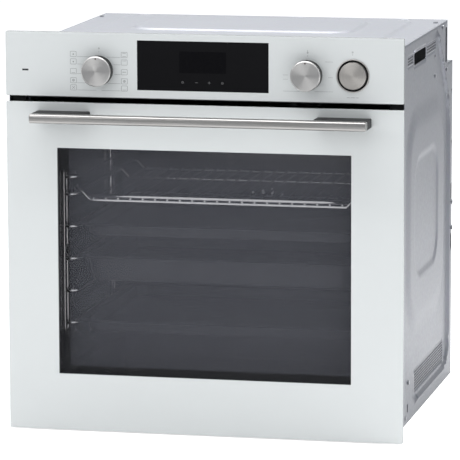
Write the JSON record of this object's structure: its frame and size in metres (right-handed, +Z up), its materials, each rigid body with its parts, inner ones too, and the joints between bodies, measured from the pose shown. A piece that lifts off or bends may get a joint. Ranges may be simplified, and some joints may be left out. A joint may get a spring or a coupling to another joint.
{
  "type": "built-in wall oven",
  "caption": "Built-in electric wall oven with a white glass front: drop-down glazed door, turning and push-in knobs, wire shelf and trays on side racks, and a cooled steel housing.",
  "frame": {"origin": "middle of the width, on the base plane, in the plane where the side flanges meet the cabinet front", "axes": "+X to the right seen from the front, +Y towards the back, +Z up"},
  "size_m": [0.595, 0.612, 0.5965],
  "materials": {
    "galvanised": "zinc coated sheet",
    "black_steel": "matt black paint",
    "enamel": "gloss vitreous enamel",
    "seal_fibre": "woven",
    "mineral_wool": "soft",
    "chrome_wire": "polished",
    "element_steel": "heat darkened",
    "steel": "plain",
    "screw_zinc": "zinc plated",
    "white_glass": "gloss enamelled",
    "black_glass": "gloss",
    "clear_glass": "gloss",
    "grey_paint": "satin",
    "circuit_board": "satin",
    "white_plastic": "satin",
    "black_plastic": "satin",
    "ceramic": "matt",
    "knob_aluminium": "spun",
    "bar_aluminium": "brushed",
    "bracket_grey": "satin",
    "indicator": "gloss",
    "spring_steel": "oiled"
  },
  "bodies": {
    "housing": {"base_panel": "galvanised", "left_side_panel": "galvanised", "right_side_panel": "galvanised", "top_panel": "galvanised", "rear_cover": "galvanised", "upper_rear_panel": "galvanised", "cooling_duct": "galvanised", "blower_housing": "galvanised", "front_frame": "black_steel", "cavity": "enamel", "fan_cover": "enamel", "cavity_seal": "seal_fibre", "insulation": "mineral_wool", "left_rack": "chrome_wire", "right_rack": "chrome_wire", "rack_fixings": "chrome_wire", "ring_element": "element_steel", "grill_element": "element_steel", "bottom_element": "element_steel", "temperature_probe": "steel", "fan_motor": "steel", "blower_motor": "steel", "hinge_receivers": "steel", "hinge_arms": "steel", "safety_thermostat": "steel", "body_screws": "screw_zinc", "lamp_holder": "ceramic", "lamp_bulb": "clear_glass", "lamp_lens": "clear_glass", "control_glass": "white_glass", "display_glass": "black_glass", "control_chassis": "grey_paint", "display_board": "circuit_board", "power_board": "circuit_board", "terminal_block": "white_plastic", "selector_switches": "white_plastic", "timer_bezel": "black_plastic", "indicator_lens": "indicator"},
    "door": {"door_outer_glass": "white_glass", "door_middle_glass": "clear_glass", "door_inner_glass": "clear_glass", "door_columns": "grey_paint", "door_trims": "black_plastic", "handle_bar": "bar_aluminium", "handle_brackets": "bracket_grey", "door_screws": "screw_zinc", "hinge_channels": "steel", "hinge_pins": "steel", "hinge_springs": "spring_steel"},
    "hinge_rods": {"hinge_rods": "steel"},
    "function_knob": {"function_knob": "knob_aluminium"},
    "temperature_knob": {"temperature_knob": "knob_aluminium"},
    "timer_sleeve": {"timer_sleeve": "black_plastic"},
    "timer_knob": {"timer_knob": "knob_aluminium"},
    "fan": {"fan_impeller": "steel"},
    "blower": {"blower_impeller": "steel"},
    "shelf": {"wire_shelf": "chrome_wire"},
    "baking_tray": {"baking_tray": "enamel"},
    "deep_tray": {"deep_tray": "enamel"},
    "lower_tray": {"lower_tray": "enamel"}
  },
  "joints": [
    {"name": "door_hinge", "type": "hinge", "parent": "housing", "child": "door", "pos_m": [0, -0.006, 0.016], "axis": [1, 0, 0], "range_deg": [0, 90], "stiffness_Nm_per_rad": 12, "springref_deg": -8.59},
    {"name": "rod_slide", "type": "slide", "parent": "door", "child": "hinge_rods", "axis": [0, 0, -1], "range_m": [0, 0.02], "deforming": ["hinge_springs"]},
    {"name": "function_knob_turn", "type": "hinge", "parent": "housing", "child": "function_knob", "pos_m": [-0.156, -0.024, 0.5412], "axis": [0, 1, 0], "continuous": true},
    {"name": "temperature_knob_turn", "type": "hinge", "parent": "housing", "child": "temperature_knob", "pos_m": [0.156, -0.024, 0.5412], "axis": [0, 1, 0], "range_deg": [0, 290]},
    {"name": "timer_slide", "type": "slide", "parent": "housing", "child": "timer_sleeve", "axis": [0, -1, 0], "range_m": [0, 0.018]},
    {"name": "timer_knob_turn", "type": "hinge", "parent": "timer_sleeve", "child": "timer_knob", "pos_m": [0.2226, -0.024, 0.5412], "axis": [0, 1, 0], "range_deg": [0, 330]},
    {"name": "fan_spin", "type": "hinge", "parent": "housing", "child": "fan", "pos_m": [0, 0.44, 0.258], "axis": [0, 1, 0], "continuous": true},
    {"name": "blower_spin", "type": "hinge", "parent": "housing", "child": "blower", "pos_m": [0.07, 0.337, 0.52], "axis": [0, 0, 1], "continuous": true},
    {"name": "shelf_slide", "type": "slide", "parent": "housing", "child": "shelf", "axis": [0, -1, 0], "range_m": [0, 0.035]},
    {"name": "baking_tray_slide", "type": "slide", "parent": "housing", "child": "baking_tray", "axis": [0, -1, 0], "range_m": [0, 0.035]},
    {"name": "deep_tray_slide", "type": "slide", "parent": "housing", "child": "deep_tray", "axis": [0, -1, 0], "range_m": [0, 0.035]},
    {"name": "lower_tray_slide", "type": "slide", "parent": "housing", "child": "lower_tray", "axis": [0, -1, 0], "range_m": [0, 0.035]}
  ],
  "couplings": [
    {"joint": "rod_slide", "follows": "door_hinge", "m_per_rad": 0.0127}
  ]
}
